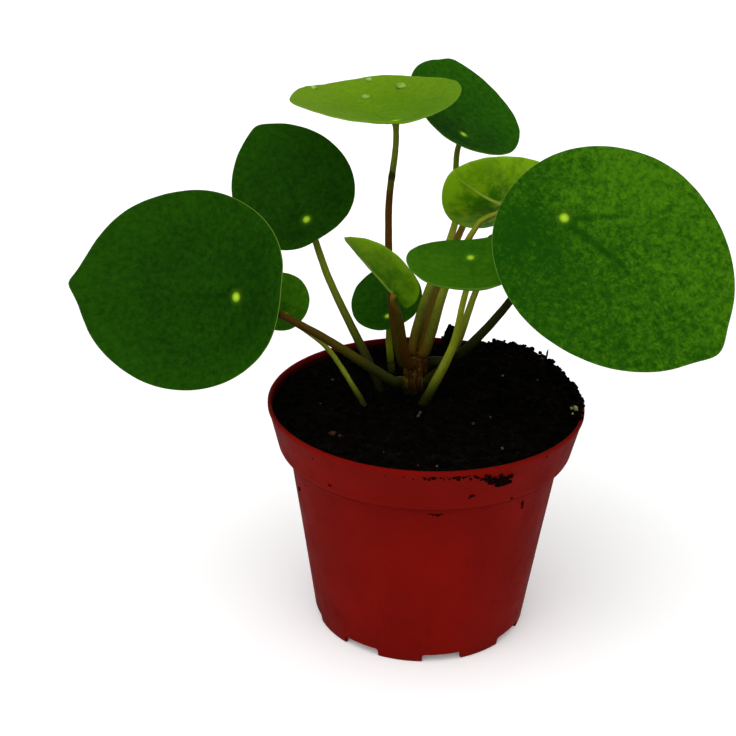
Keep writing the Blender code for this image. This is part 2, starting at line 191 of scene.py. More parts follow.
LEAVES = [
    Leaf(
        name="front_left", spot=(-0.0520, -0.0139, 0.1056), faces=(-125, 25), turn=-77,
        length=0.0595, width=0.0546, back=0.28, point=0.023, egg=-0.05, lift=0.28, fold=-0.24,
        curl=-0.07, wave=0.0003, root=(-0.0072, 0.0098, 0.0690),
        bends=[(-0.0100, 0.0000, 0.0740), (-0.0320, -0.0060, 0.0910)],
        radii=(0.00146, 0.00140, 0.00112, 0.00090), blade="dark",
        stalk=(TAN, MOSS, MOSS, HAZEL, CHESTNUT, RUSSET, CHESTNUT), beak=0.0008, joint=0.80,
        spot_shift=(-0.0002, 0.0016),
    ),
    Leaf(
        name="upper_left", spot=(-0.0348, 0.0325, 0.1111), faces=(-111, 44), turn=-137,
        length=0.0399, width=0.0367, back=0.21, point=0.021, egg=0.02, lift=0.13, fold=-0.26,
        curl=0.02, wave=0.0002, root=(-0.0118, 0.0086, 0.0620),
        bends=[(-0.0145, 0.0135, 0.0690), (-0.0285, 0.0290, 0.0930)],
        radii=(0.00135, 0.00130, 0.00110, 0.00095), blade="dark",
        stalk=(PITCH, MOSS, OLIVE, LIME, LIME), spot_shift=(-0.0004, 0.0008),
    ),
    Leaf(
        name="low_left", spot=(-0.0399, 0.0019, 0.0924), faces=(-108, 42), turn=-150,
        length=0.0176, width=0.0162, back=0.25, point=0.020, egg=0.0, lift=0.02, fold=0.01,
        curl=0.0, wave=0.0002, root=(-0.0152, -0.0012, 0.0620),
        bends=[(-0.0200, 0.0010, 0.0700), (-0.0286, 0.0055, 0.0814)],
        radii=(0.0009, 0.0008, 0.0007, 0.0006), blade="mid",
        stalk=(OLIVE, STRAW, STRAW, PAINTED_LIGHT_PALE), mottle=0.5, joint=0.83, tone=1.05,
    ),
    Leaf(
        name="top", spot=(-0.0102, 0.0190, 0.1438), faces=(135, 80), turn=-21,
        length=0.0513, width=0.0479, back=0.20, point=0.020, egg=0.15, lift=0.14, fold=0.15,
        curl=-0.03, wave=0.0003, root=(-0.0069, 0.0129, 0.0740),
        bends=[(-0.0105, 0.0140, 0.0960), (-0.0115, 0.0200, 0.1190)],
        radii=(0.0011, 0.0011, 0.0010, 0.0008), blade="light",
        stalk=(UMBER, HAZEL, RUSSET, RUSSET, RUSSET, RUSSET, LIME, LIME), joint=0.79, lean=0.30,
    ),
    Leaf(
        name="top_right", spot=(0.0117, 0.0488, 0.1324), faces=(-29, 61), turn=136,
        length=0.0403, width=0.0375, back=0.26, point=0.029, egg=0.06, lift=0.19, fold=-0.02,
        curl=-0.1, wave=0.0002, root=(-0.0038, 0.0121, 0.0780),
        bends=[(-0.0005, 0.0195, 0.0905), (0.0085, 0.0370, 0.1090)],
        radii=(0.0013, 0.0012, 0.0010, 0.0008), blade="dark",
        # The last colour of this stalk is painted light: lighter where its blade shades it
        stalk=(RUSSET, OLIVE, STRAW, STRAW, LIME, STRAW), tone=1.55, spot_shift=(-0.0011, 0.0018),
    ),
    Leaf(
        name="back_right", spot=(0.0212, 0.0250, 0.1185), faces=(113, 35), turn=119,
        length=0.0342, width=0.0315, back=0.48, point=0.0, egg=0.07, lift=0.34, fold=-0.07,
        curl=0.14, wave=0.0002, root=(-0.0003, 0.0110, 0.0780),
        bends=[(0.0055, 0.0155, 0.0975), (0.0140, 0.0190, 0.1145)],
        radii=(0.0014, 0.0013, 0.0009, 0.0007), blade="light",
        stalk=(RUSSET, OLIVE, STRAW, TAN, STRAW, STRAW), tone=1.20,
    ),
    Leaf(
        name="centre", spot=(-0.0094, 0.0005, 0.0997), faces=(40, 35), turn=155,
        length=0.0267, width=0.0246, back=0.19, point=0.0, egg=0.1, lift=0.03, fold=0.34,
        curl=-0.02, wave=0.0002, root=(-0.0050, 0.0082, 0.0756),
        bends=[(-0.0082, 0.0025, 0.0930)],
        radii=(0.0013, 0.0011, 0.0008), blade="light",
        stalk=(RUSSET, RUSSET, HAZEL, TAN), tone=0.75, lean=0.05, mottle=0.4,
    ),
    Leaf(
        name="low_centre", spot=(-0.0111, 0.0220, 0.0844), faces=(-121, 59), turn=-149,
        length=0.0237, width=0.0217, back=0.20, point=0.020, egg=0.0, lift=0.05, fold=-0.11,
        curl=-0.01, wave=0.0002, root=(-0.0090, 0.0241, 0.0620),
        bends=[(-0.0105, 0.0240, 0.0755)],
        radii=(0.0011, 0.0010, 0.0008), blade="dark",
        stalk=(LIME, PAINTED_LIGHT_PALE, PAINTED_LIGHT_PALE), joint=0.30, tone=1.4,
    ),
    Leaf(
        name="centre_right", spot=(0.0107, -0.0032, 0.1121), faces=(-107, 68), turn=19,
        length=0.0365, width=0.0338, back=0.19, point=0.017, egg=0.25, lift=0.3, fold=0.14,
        curl=0.05, wave=0.0002, root=(-0.0022, 0.0022, 0.0620),
        bends=[(0.0070, 0.0030, 0.0825), (0.0090, 0.0000, 0.0955)],
        radii=(0.0015, 0.0013, 0.0009, 0.0008), blade="mid",
        stalk=(PITCH, OLIVE, STRAW, PAINTED_LIGHT_PALE, PAINTED_LIGHT_PALE, PAINTED_LIGHT_PALE, STRAW), mottle=0.35, tone=1.15,
    ),
    Leaf(
        name="front_right", spot=(0.0328, -0.0212, 0.1299), faces=(-89, 40), turn=47,
        length=0.0649, width=0.0566, back=0.24, point=0.041, egg=0.06, lift=-0.01, fold=0.13,
        curl=0.01, wave=0.0003, root=(0.0015, 0.0102, 0.0700),
        bends=[(0.0160, 0.0005, 0.0897), (0.0283, -0.0070, 0.1118)],
        radii=(0.0015, 0.0013, 0.0010, 0.0009), blade="mid",
        stalk=(MOSS, PITCH, MOSS, UMBER, UMBER, MOSS), lean=0.34,
    ),
    Leaf(
        name="right_young", spot=(0.0227, 0.0180, 0.1093), faces=(-70, 70), turn=20,
        length=0.0220, width=0.0200, back=0.24, point=0.020, egg=0.05, lift=0.10, fold=0.10,
        curl=0.0, wave=0.0002, root=(0.0018, 0.0141, 0.0735),
        bends=[(0.0070, 0.0135, 0.0750), (0.0155, 0.0195, 0.0970)],
        radii=(0.0015, 0.0012, 0.0009, 0.0007), blade="dark",
        stalk=(PITCH, MOSS, STRAW, STRAW, STRAW), tone=0.8,
    ),
    Leaf(
        name="back_young", spot=(0.0183, 0.0510, 0.1147), faces=(80, 50), turn=60,
        length=0.0170, width=0.0156, back=0.22, point=0.020, egg=0.05, lift=0.10, fold=0.10,
        curl=0.0, wave=0.0002, root=(-0.0015, 0.0146, 0.0784),
        bends=[(0.0020, 0.0265, 0.0880), (0.0120, 0.0460, 0.1060)],
        radii=(0.0015, 0.0014, 0.0011, 0.0008), blade="mid",
        stalk=(RUSSET, TAN, TAN, TAN, OLIVE), mottle=0.5, tone=0.8,
    ),
]


def put(piece, slot, *nodes):
    """The piece rides on the one body, and stands for these solids, if any."""
    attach(piece, "root")
    if nodes:
        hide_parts(*nodes)
    return piece


def linked(name, data):
    """A new object in the scene."""
    made = bpy.data.objects.new(name, data)
    bpy.context.scene.collection.objects.link(made)
    return made


class Value:
    """What a node gives. Each method adds a node that works on it, and returns what that one gives."""

    def __init__(self, shader, socket):
        self.shader = shader
        self.socket = socket

    def __add__(self, other):
        return self.maths("ADD", other)

    def __sub__(self, other):
        return self.maths("SUBTRACT", other)

    def __rsub__(self, other):
        return self.shader.node("Math", {0: other, 1: self}, operation="SUBTRACT")

    def __mul__(self, other):
        return self.maths("MULTIPLY", other)

    def __truediv__(self, other):
        return self.maths("DIVIDE", other)

    def maths(self, operation, other=0.0):
        return self.shader.node("Math", {0: self, 1: other}, operation=operation)

    def parts(self):
        """The x, y and z of a vector."""
        first = self.shader.node("SeparateXYZ", {"Vector": self})
        return [Value(self.shader, socket) for socket in first.socket.node.outputs]

    def length(self):
        return self.shader.node("VectorMath", {0: self}, "Value", operation="LENGTH")

    def scaled(self, factor):
        return self.shader.node("VectorMath", {0: self, "Scale": factor}, operation="SCALE")

    def stretched(self, factors):
        return self.shader.node("VectorMath", {0: self, 1: factors}, operation="MULTIPLY")

    def moved(self, shift):
        return self.shader.node("VectorMath", {0: self, 1: shift}, operation="ADD")

    def ease(self, low, high, to_low=0.0, to_high=1.0):
        """Goes smoothly from to_low to to_high while the value goes from low to high."""
        inputs = {"Value": self, "From Min": low, "From Max": high, "To Min": to_low, "To Max": to_high}
        return self.shader.node("MapRange", inputs, "Result", interpolation_type="SMOOTHSTEP")

    def noise(self, scale, detail=3.0, roughness=0.55, distortion=0.0, output="Fac"):
        inputs = {"Vector": self, "Scale": scale, "Detail": detail}
        inputs.update({"Roughness": roughness, "Distortion": distortion})
        return self.shader.node("TexNoise", inputs, output)

    def cells(self, scale):
        """Distance to the nearest wall of a net of cells."""
        inputs = {"Vector": self, "Scale": scale, "Randomness": 1.0}
        return self.shader.node("TexVoronoi", inputs, "Distance", feature="DISTANCE_TO_EDGE")

    def blend(self, a, b):
        """Colour a where the value is 0, and colour b where it is 1."""
        return self.shader.node("Mix", {0: self, 6: a, 7: b}, 2, data_type="RGBA")

    def ramp(self, colours):
        """Runs through the colours while the value goes from 0 to 1."""
        ramp = self.shader.node("ValToRGB", {"Fac": self}, "Color")
        stops = ramp.socket.node.color_ramp.elements
        while len(stops) < len(colours):
            stops.new(0.5)
        for index, (stop, colour) in enumerate(zip(stops, colours)):
            stop.position = index / (len(colours) - 1)
            stop.color = (*colour, 1.0)
        return ramp


class Shader:
    """A node material."""

    def __init__(self, name, roughness, **settings):
        self.material = bpy.data.materials.new(name)
        self.material.use_nodes = True
        self.tree = self.material.node_tree
        self.look("Roughness", roughness)
        for socket, value in settings.items():
            self.look(socket.replace("_", " "), value)

    def set(self, node, socket, value):
        target = node.inputs[socket]
        if isinstance(value, Value):
            self.tree.links.new(value.socket, target)
        elif target.type == "RGBA":
            target.default_value = (*value, 1.0)
        else:
            target.default_value = value

    def look(self, socket, value):
        """Sets one value of the surface."""
        self.set(self.tree.nodes["Principled BSDF"], socket, value)

    def node(self, kind, inputs, output=0, **options):
        """Adds a node and returns what it gives."""
        made = self.tree.nodes.new("ShaderNode" + kind)
        for option, value in options.items():
            setattr(made, option, value)
        for socket, value in inputs.items():
            self.set(made, socket, value)
        return Value(self, made.outputs[output])

    def attribute(self, name):
        return self.node("Attribute", {}, "Vector", attribute_name=name)

    def position(self):
        return self.node("TexCoord", {}, "Object")

    def join(self, x, y, z=0.0):
        return self.node("CombineXYZ", {"X": x, "Y": y, "Z": z})

    def bump(self, height, distance, strength):
        inputs = {"Height": height, "Distance": distance, "Strength": strength}
        self.look("Normal", self.node("Bump", inputs, "Normal"))


def smooth_mesh(name, points, faces, materials, slots=(), **values):
    """A smooth object. Each list of values holds three numbers a point, which its material reads."""
    mesh = bpy.data.meshes.new(name)
    mesh.from_pydata([tuple(point) for point in points], [], faces)
    for material in materials:
        mesh.materials.append(material)
    for attribute, numbers in values.items():
        layer = mesh.attributes.new(attribute, "FLOAT_VECTOR", "POINT")
        layer.data.foreach_set("vector", np.asarray(numbers, np.float32).ravel())
    if slots:
        mesh.polygons.foreach_set("material_index", slots)
    mesh.shade_smooth()
    mesh.validate()
    return linked(name, mesh)


# Leaf blades


@dataclass
class Finish:
    """The two sides of one kind of blade: their colours, and how strongly the markings show."""

    deep: tuple
    bright: tuple
    veins: float
    mottling: float
    edge: float  # how much brighter the outer part of the blade is, as painted sheen
    roughness: float
    shine: float
    deep_below: tuple
    bright_below: tuple


FINISHES = {
    "dark": Finish(
        deep=(0.0028, 0.0205, 0.0003), bright=(0.0110, 0.0580, 0.0008),
        veins=0.40, mottling=0.9, edge=0.30, roughness=0.46, shine=0.015,
        deep_below=(0.0200, 0.0700, 0.0040), bright_below=(0.0420, 0.1050, 0.0080),
    ),
    "mid": Finish(
        deep=(0.0050, 0.0470, 0.0004), bright=(0.0470, 0.1500, 0.0020),
        veins=0.95, mottling=1.15, edge=0.06, roughness=0.44, shine=0.020,
        deep_below=(0.0260, 0.0850, 0.0040), bright_below=(0.0550, 0.1250, 0.0080),
    ),
    "light": Finish(
        deep=(0.0580, 0.1600, 0.0006), bright=(0.1180, 0.2280, 0.0060),
        veins=0.30, mottling=0.9, edge=0.50, roughness=0.40, shine=0.008,
        deep_below=(0.0230, 0.1120, 0.0006), bright_below=(0.1450, 0.2950, 0.0030),
    ),
}
SPOT_COLOUR = (0.24, 0.43, 0.012)
SPOT_CORE = (0.42, 0.60, 0.050)
RIM_COLOUR = (0.10, 0.17, 0.02)
PALE_VEIN = (0.34, 0.44, 0.05)


def vein_values(shader):
    """What every blade material draws on: places, distances, veins and the look of its own leaf."""
    x, y, reach = shader.attribute("leaf").parts()
    tone, seed, lean = shader.attribute("look").parts()
    spot_size, mottle, _ = shader.attribute("mark").parts()
    away = shader.join(x, y).length()
    angle = y.maths("ARCTAN2", x)
    flat = shader.join(x, y, seed * 9.0)
    sway = flat.noise(0.08, detail=1.0) - 0.5
    bent = angle / (1.0 - reach * VEIN_BEND) + sway * 0.25
    turned = (bent * (MAIN_VEINS / 2)).maths("SINE").maths("ABSOLUTE")
    rough = flat.noise(0.35, detail=2.0, roughness=0.5, output="Color")
    wander = flat.moved(rough.stretched((4.0, 4.0, 0.0)))
    return SimpleNamespace(
        flat=flat,
        reach=reach,
        tone=tone,
        lean=lean,
        mottle=mottle,
        tipward=reach * angle.maths("COSINE"),
        side=angle.maths("SINE") * reach.ease(0.0, 0.4),
        spot=away / spot_size,
        forward=angle.maths("ABSOLUTE").ease(0.35, 1.4, 1.0, 0.25),
        across=turned * away / (MAIN_VEINS / 2),
        net=wander.cells(0.20).ease(0.0, 0.16, 1.0, 0.0),
        fine=wander.cells(0.62).ease(0.0, 0.34, 1.0, 0.0),
    )


def upper_material(kind):
    finish = FINISHES[kind]
    shader = Shader("blade_upper_" + kind, finish.roughness, Specular_IOR_Level=finish.shine)
    of = vein_values(shader)
    main = (of.across / of.reach.ease(0.0, 0.8, 2.2, 1.0)).ease(0.0, 1.0, 1.0, 0.0)
    main = main * of.forward * of.reach.ease(0.10, 0.90, 0.9, 0.05)
    main = main * of.side.ease(-0.6, 0.1, 0.3, 1.0) * of.mottle.ease(0.0, 1.0)
    broad = of.flat.noise(0.07, detail=2.0, roughness=0.5).ease(0.30, 0.70)
    speckle = of.flat.noise(0.62, roughness=0.70, distortion=0.2) - 0.5
    speckle = speckle * (2.2 * finish.mottling) * of.mottle
    # Painted shade: the blade is painted darker behind the spot and lighter towards its tip
    share = (of.tipward + broad * 0.3).ease(-0.5, 0.7, -0.03, 0.17)
    # Painted light and shade: one side of the blade is painted paler than the other by lean
    # Painted sheen: the outer part of the blade is painted paler by finish.edge
    share = share + broad * 0.16 + of.side * of.lean + of.reach.ease(0.5, 1.0, 0.0, finish.edge)
    share = share + speckle * share.ease(-0.2, 0.4, 0.6, 1.0)
    # The vein lines are painted darker: painted shade in the sunken veins
    net = (of.net * 0.30).maths("MAXIMUM", of.fine * 0.36)
    lines = (net * of.mottle).maths("MAXIMUM", main) * finish.veins
    colour = (share - lines).ease(-0.65, 1.05).blend(finish.deep, finish.bright).scaled(of.tone)
    colour = of.spot.ease(0.9, 3.0, 0.10, 0.0).blend(colour, SPOT_COLOUR)
    colour = of.spot.ease(0.6, 1.65, 1.0, 0.0).blend(colour, SPOT_COLOUR)
    colour = of.spot.ease(0.0, 0.9, 0.7, 0.0).blend(colour, SPOT_CORE)
    rim = of.reach.ease(0.990, 0.998) * of.tipward.ease(-0.3, 0.5, 1.0, 0.15)
    shader.look("Base Color", rim.blend(colour, RIM_COLOUR))
    roughest, smoothest = finish.roughness + 0.10, finish.roughness - 0.06
    shader.look("Roughness", of.flat.noise(0.5).ease(0.3, 0.7, smoothest, roughest))
    shader.bump(speckle * 0.5 - lines, 0.00022, 0.8)
    return shader.material


def lower_material(kind):
    finish = FINISHES[kind]
    shader = Shader("blade_lower_" + kind, 0.52, Specular_IOR_Level=0.03)
    of = vein_values(shader)
    patches = of.flat.noise(0.13, detail=5.0, roughness=0.68).ease(0.38, 0.62)
    patches = patches * of.mottle.ease(0.0, 1.0, 0.30, 0.80)
    share = patches + of.reach.ease(0.55, 1.0, 0.0, 0.35) + of.tipward.ease(0.35, 0.95, 0.0, 0.35)
    # Painted light and shade: one side of the blade is painted paler than the other by lean
    share = share + of.side * of.lean
    colour = share.blend(finish.deep_below, finish.bright_below).scaled(of.tone)
    ribs = (of.across / of.reach.ease(0.0, 1.0, 0.85, 0.42)).ease(0.2, 1.0, 1.0, 0.0)
    ribs = ribs * of.forward.maths("POWER", 9.0) * of.reach.ease(0.3, 0.95, 1.0, 0.2)
    lines = (of.net * 0.05).maths("MAXIMUM", ribs) * of.mottle.ease(0.0, 1.0, 0.2, 1.0)
    colour = lines.blend(colour, PALE_VEIN)
    shader.look("Base Color", of.spot.ease(0.8, 2.4, 0.8, 0.0).blend(colour, LIME))
    shader.bump(lines + of.flat.noise(0.9) * 0.5, 0.00018, 0.7)
    return shader.material


def blade_place(leaf):
    """From the blade laid out level, its spot at the origin and its tip along +X, to its place."""
    azimuth, elevation = leaf.faces
    return (
        Matrix.Translation(leaf.spot)
        @ Matrix.Rotation(math.radians(azimuth), 4, "Z")
        @ Matrix.Rotation(math.radians(90 - elevation), 4, "Y")
        @ Matrix.Rotation(math.radians(leaf.turn), 4, "Z")
    )


def blade_surface(leaf, reach, angle):
    """Points of the blade's middle surface; reach is 0 at the spot and 1 at the edge."""
    half_length, half_width = leaf.length / 2, leaf.width / 2
    tip = leaf.point * leaf.length * np.exp(-((angle / TIP_SPREAD) ** 2))
    tip = tip + leaf.beak * np.exp(-((angle / (0.4 * TIP_SPREAD)) ** 2))
    phase = 90 * leaf.length
    ripple = np.sin(5 * angle + 2 * phase) + 0.7 * np.sin(9 * angle + 3 * phase)
    reach = reach * (1 + RIPPLE * reach**3 * ripple)
    x = reach * (half_length * (1 + np.cos(angle)) - leaf.back * leaf.length + tip)
    y = reach * half_width * np.sin(angle) * (1 - leaf.egg * np.cos(angle))
    x = x + (1 - reach) * leaf.spot_shift[0]
    y = y + (1 - reach) * leaf.spot_shift[1]
    soft = FOLD_SOFTNESS * leaf.width
    z = leaf.lift * (x * x + y * y) / half_length
    z = z + leaf.fold * (np.hypot(y, soft) - soft)
    z = z + leaf.curl * x * np.abs(x) / leaf.length
    z = z + leaf.wave * reach**4 * np.sin(5 * angle + phase)
    return np.stack([x, y, z], axis=-1)


def main_vein(leaf, points, reach):
    """Share of main vein at points of a blade, as its material draws it, without the sway."""
    x, y = points[..., 0] - leaf.spot_shift[0], points[..., 1] - leaf.spot_shift[1]
    away = np.hypot(x, y)
    angle = np.arctan2(y, x) / (1 - VEIN_BEND * reach)
    across = away * np.abs(np.sin(angle * MAIN_VEINS / 2)) / (MAIN_VEINS / 2)
    return np.exp(-((across / (0.0007 - 0.0004 * reach)) ** 2)) * np.clip(1.4 - np.abs(angle) / 1.6, 0.3, 1)


def blade_faces(rings, spokes):
    """Faces and their materials. Points run ring by ring above, then underneath, then round the edge."""
    count = rings * spokes
    edge = 2 * count
    top_middle, bottom_middle = edge + spokes, edge + spokes + 1
    faces, slots = [], []
    for spoke in range(spokes):
        after = (spoke + 1) % spokes
        for ring in range(rings - 1):
            a, b = ring * spokes + spoke, ring * spokes + after
            faces.append((a, a + spokes, b + spokes, b))
            faces.append((count + a, count + b, count + b + spokes, count + a + spokes))
            slots += [0, 1]
        a, b = (rings - 1) * spokes + spoke, (rings - 1) * spokes + after
        faces.append((a, edge + spoke, edge + after, b))
        faces.append((count + a, count + b, edge + after, edge + spoke))
        faces.append((spoke, after, top_middle))
        faces.append((count + after, count + spoke, bottom_middle))
        slots += [0, 1, 0, 1]
    return faces, slots


def add_blade(leaf, materials):
    rings = max(26, round(leaf.length / RING_STEP))
    spokes = max(96, 4 * round(leaf.length / SPOKE_STEP))
    inner = np.linspace(0, EDGE_START, rings - len(EDGE_RINGS))[1:]
    reach = np.concatenate([inner, EDGE_RINGS])[:, None]
    angle = (np.arange(spokes) / spokes * 2 * math.pi - math.pi)[None, :]
    middle = blade_surface(leaf, reach, angle)
    step = 1e-4
    along = blade_surface(leaf, reach + step, angle) - middle
    around = blade_surface(leaf, reach, angle + step) - middle
    normal = np.cross(along, around)
    normal /= np.linalg.norm(normal, axis=-1, keepdims=True)
    past_start = np.clip((reach - EDGE_START) / (1 - EDGE_START), 0, 1)
    half = BLADE_THICKNESS / 2 * np.sqrt(1 - past_start**2) * (1 - 0.2 * reach**2)
    vein = main_vein(leaf, middle, reach) * (1 - reach**3)
    off_spot = np.clip(reach / 0.12, 0, 1)
    top = middle + normal * (half - VEIN_SUNK * vein * off_spot)[..., None]
    bottom = middle - normal * (half + VEIN_PROUD * vein * (1 - 0.6 * reach))[..., None]
    edge = blade_surface(leaf, np.ones((1, 1)), angle).reshape(-1, 3)
    centre = blade_surface(leaf, np.zeros((1, 1)), np.zeros((1, 1)))[0, 0]
    half_sheet = np.array([0, 0, BLADE_THICKNESS / 2])
    ends = [centre + half_sheet, centre - half_sheet]
    points = np.concatenate([top.reshape(-1, 3), bottom.reshape(-1, 3), edge, ends])
    reaches = np.repeat(reach[:, 0], spokes)
    reaches = np.concatenate([reaches, reaches, np.ones(spokes), [0.0, 0.0]])
    middle = middle.reshape(-1, 3)
    flat = np.concatenate([middle, middle, edge, [centre, centre]])
    shift_x, shift_y = leaf.spot_shift
    values = np.stack([(flat[:, 0] - shift_x) / MM, (flat[:, 1] - shift_y) / MM, reaches], axis=-1)
    turns = len(leaf.name) + points[:, :2] @ np.array([[900, 0, 520], [0, 700, -610]])
    drift = np.sin(turns[:, 0]) * np.sin(turns[:, 1]) + 0.6 * np.sin(turns[:, 2] * 1.7)
    points[:, 2] += DRIFT * drift * np.minimum(1.0, reaches * 4)
    place = np.array(blade_place(leaf))
    points = points @ place[:3, :3].T + place[:3, 3]
    faces, slots = blade_faces(len(reach), spokes)
    seed = sum(leaf.spot) * 1000 % 7
    spot_size = 0.35 + 0.65 * min(1.0, leaf.length / 0.050)
    blade = smooth_mesh(
        "blade_" + leaf.name + "_fine", points, faces, materials[leaf.blade], slots,
        leaf=values,
        look=np.tile((leaf.tone, seed, leaf.lean), len(points)),
        mark=np.tile((spot_size, leaf.mottle, 0), len(points)),
    )
    return put(blade, SLOT_OF["blade_" + leaf.name], "blade_" + leaf.name)


# Water drops on the topmost leaf: reach and angle in degrees on its blade, and radius in mm
DROPS = [(0.68, -14, 1.3), (0.80, -52, 1.6), (0.94, -26, 1.1), (0.95, 28, 1.0)]


def add_drops(leaf):
    corners, ball_faces = ball()
    place = blade_place(leaf)
    points, faces = [], []
    for reach, angle, radius in DROPS:
        spot = np.full((1, 1), reach), np.full((1, 1), math.radians(angle))
        foot = place @ Vector(blade_surface(leaf, *spot)[0, 0])
        start = len(points)
        domed = [Vector((corner.x, corner.y, corner.z * 0.6 + 0.3)) for corner in corners]
        points += [foot + corner * radius * MM for corner in domed]
        faces += [[start + index for index in face] for face in ball_faces]
    shader = Shader("water", 0.10, Specular_IOR_Level=0.25)
    # Painted light: the drops are painted pale, standing in for the light that the water lets through and
    # reflects
    cloud = shader.position().noise(900.0, detail=2.0).ease(0.35, 0.65)
    shader.look("Base Color", cloud.blend((0.130, 0.250, 0.015), (0.300, 0.450, 0.080)))
    drops = smooth_mesh("drops_" + leaf.name, points, faces, [shader.material])
    return put(drops, "light_blade")


# Stalks and stem


def smooth_path(knots, end_way, steps):
    """Points on a smooth curve through the knots that ends along end_way."""
    knots = [Vector(knot) for knot in knots]
    ways = [knots[1] - knots[0]]
    ways += [after - before for before, after in zip(knots, knots[2:])]
    ways = [way.normalized() for way in ways] + [end_way]
    path = []
    for start, end, leave, arrive in zip(knots, knots[1:], ways, ways[1:]):
        reach = (end - start).length / 3
        span = interpolate_bezier(start, start + leave * reach, end - arrive * reach, end, steps)
        path += span[:-1]
    return path + [knots[-1]]


def sweep(name, path, radius_at, relief, sides, material):
    """A closed round bar along the path, its radius and its surface set for each place on it."""
    lengths = [0.0]
    for before, after in zip(path, path[1:]):
        lengths.append(lengths[-1] + (after - before).length)
    way = (path[1] - path[0]).normalized()
    side = way.orthogonal().normalized()
    points, values = [], []
    for index, place in enumerate(path):
        ahead = path[min(index + 1, len(path) - 1)] - path[max(index - 1, 0)]
        side = (side - ahead.normalized() * side.dot(ahead.normalized())).normalized()
        other = ahead.normalized().cross(side)
        share = lengths[index] / lengths[-1]
        for corner in range(sides):
            turn = 2 * math.pi * corner / sides
            outward = side * math.cos(turn) + other * math.sin(turn)
            radius = radius_at(share, lengths[index], lengths[-1])
            radius += relief(place + outward * radius, turn)
            points.append(place + outward * radius)
            values.append((share, 0.0, 0.0))
    faces = []
    for ring in range(len(path) - 1):
        for corner in range(sides):
            after = (corner + 1) % sides
            a, b = ring * sides + corner, ring * sides + after
            faces.append((a, b, b + sides, a + sides))
    first, last = len(points), len(points) + 1
    points += [path[0] - way * 0.0002, path[-1]]
    values += [(0.0, 0.0, 0.0), (1.0, 0.0, 0.0)]
    base = (len(path) - 1) * sides
    for corner in range(sides):
        after = (corner + 1) % sides
        faces.append((after, corner, first))
        faces.append((base + corner, base + after, last))
    return smooth_mesh(name, points, faces, [material], stalk=values)


def stalk_material(leaf, in_soil):
    """Its colours run from the root to the blade, painted lighter on the upper side and darker underneath as
    painted light and shade. A joint, where there is one, is a darker ring.
    """
    shader = Shader("stalk_" + leaf.name, 0.45, Specular_IOR_Level=0.05)
    place = shader.position()
    blotch = place.noise(260.0, detail=4.0) - 0.5
    share = shader.attribute("stalk").parts()[0] + blotch * 0.12
    colour = share.ramp(leaf.stalk)
    if leaf.joint:
        far = (share - leaf.joint).maths("ABSOLUTE")
        colour = far.ease(0.006, 0.022, 0.85, 0.0).blend(colour, PITCH)
    # Painted light and shade: the upper side of the stalk is painted lighter and the underside darker, by
    # which way the surface faces
    upward = shader.node("NewGeometry", {}, "Normal").parts()[2]
    colour = colour.scaled(upward.ease(-0.5, 0.8, 0.60, 1.30))
    if in_soil:
        height = place.parts()[2]
        colour = height.ease(SOIL_LEVEL, SOIL_LEVEL + 0.0090, 0.92, 0.0).blend(colour, PITCH)
    streaks = place.stretched((2400.0, 2400.0, 320.0)).noise(1.0, roughness=0.6)
    darker = share.ramp([tuple(0.45 * band for band in shade) for shade in leaf.stalk])
    shader.look("Base Color", streaks.ease(0.42, 0.72, 0.0, 0.5).blend(colour, darker))
    shader.bump(streaks, 0.00008, 0.5)
    return shader.material


def stem_axis(height):
    """The middle of the stem at a height."""
    low, high = Vector(STEM_PATH[1]), Vector(STEM_PATH[2])
    return low.lerp(high, (height - low.z) / (high.z - low.z))


def add_stalk(leaf):
    place = blade_place(leaf)
    upward = (place.to_3x3() @ Vector((0, 0, 1))).normalized()
    middle = blade_surface(leaf, np.zeros((1, 1)), np.zeros((1, 1)))[0, 0]
    end = place @ Vector(middle) - upward * BLADE_THICKNESS * 0.3
    knots = [leaf.root, *leaf.bends, end]
    on_stem = leaf.root[2] > SOIL_LEVEL
    if on_stem:
        knots = [stem_axis(leaf.root[2] - STALK_DROP), *knots]
    path = smooth_path(knots, upward, 18)
    radii = leaf.radii

    def radius_at(share, gone, whole):
        """Wider at the foot, at the joint and where the stalk meets the blade."""
        place = share * (len(radii) - 1)
        start = min(int(place), len(radii) - 2)
        radius = radii[start] + (radii[start + 1] - radii[start]) * (place - start)
        foot = 0.0
        if on_stem:
            foot = 0.16 * math.exp(-((gone / 0.0120) ** 2)) - 0.4 * math.exp(-((gone / 0.0012) ** 2))
        head = 0.45 * math.exp(-(((whole - gone) / 0.0011) ** 2))
        joint = 0.12 * math.exp(-(((share - leaf.joint) / 0.012) ** 2)) if leaf.joint else 0.0
        return radius * (1 + foot + head + joint)

    def relief(place, turn):
        return 0.00007 * noise.noise(place * 420)

    material = stalk_material(leaf, not on_stem)
    stalk = sweep("stalk_" + leaf.name + "_fine", path, radius_at, relief, STALK_SIDES, material)
    return put(stalk, SLOT_OF["stalk_" + leaf.name], "stalk_" + leaf.name)


def bark_material():
    shader = Shader("stem_bark", 0.8, Specular_IOR_Level=0.04)
    place = shader.position()
    streaks = place.stretched((900.0, 900.0, 260.0)).noise(1.0, detail=5.0, roughness=0.65)
    bark = [(0.016, 0.006, 0.0006), (0.042, 0.018, 0.0020), (0.064, 0.030, 0.0045), (0.130, 0.090, 0.028)]
    low = place.parts()[2].ease(SOIL_LEVEL, SOIL_LEVEL + 0.003, 0.85, 0.0)
    shader.look("Base Color", low.blend(streaks.ease(0.36, 0.72).ramp(bark), PITCH))
    shader.bump(place.stretched((1500.0, 1500.0, 700.0)).noise(1.0, detail=5.0), 0.0003, 0.8)
    return shader.material


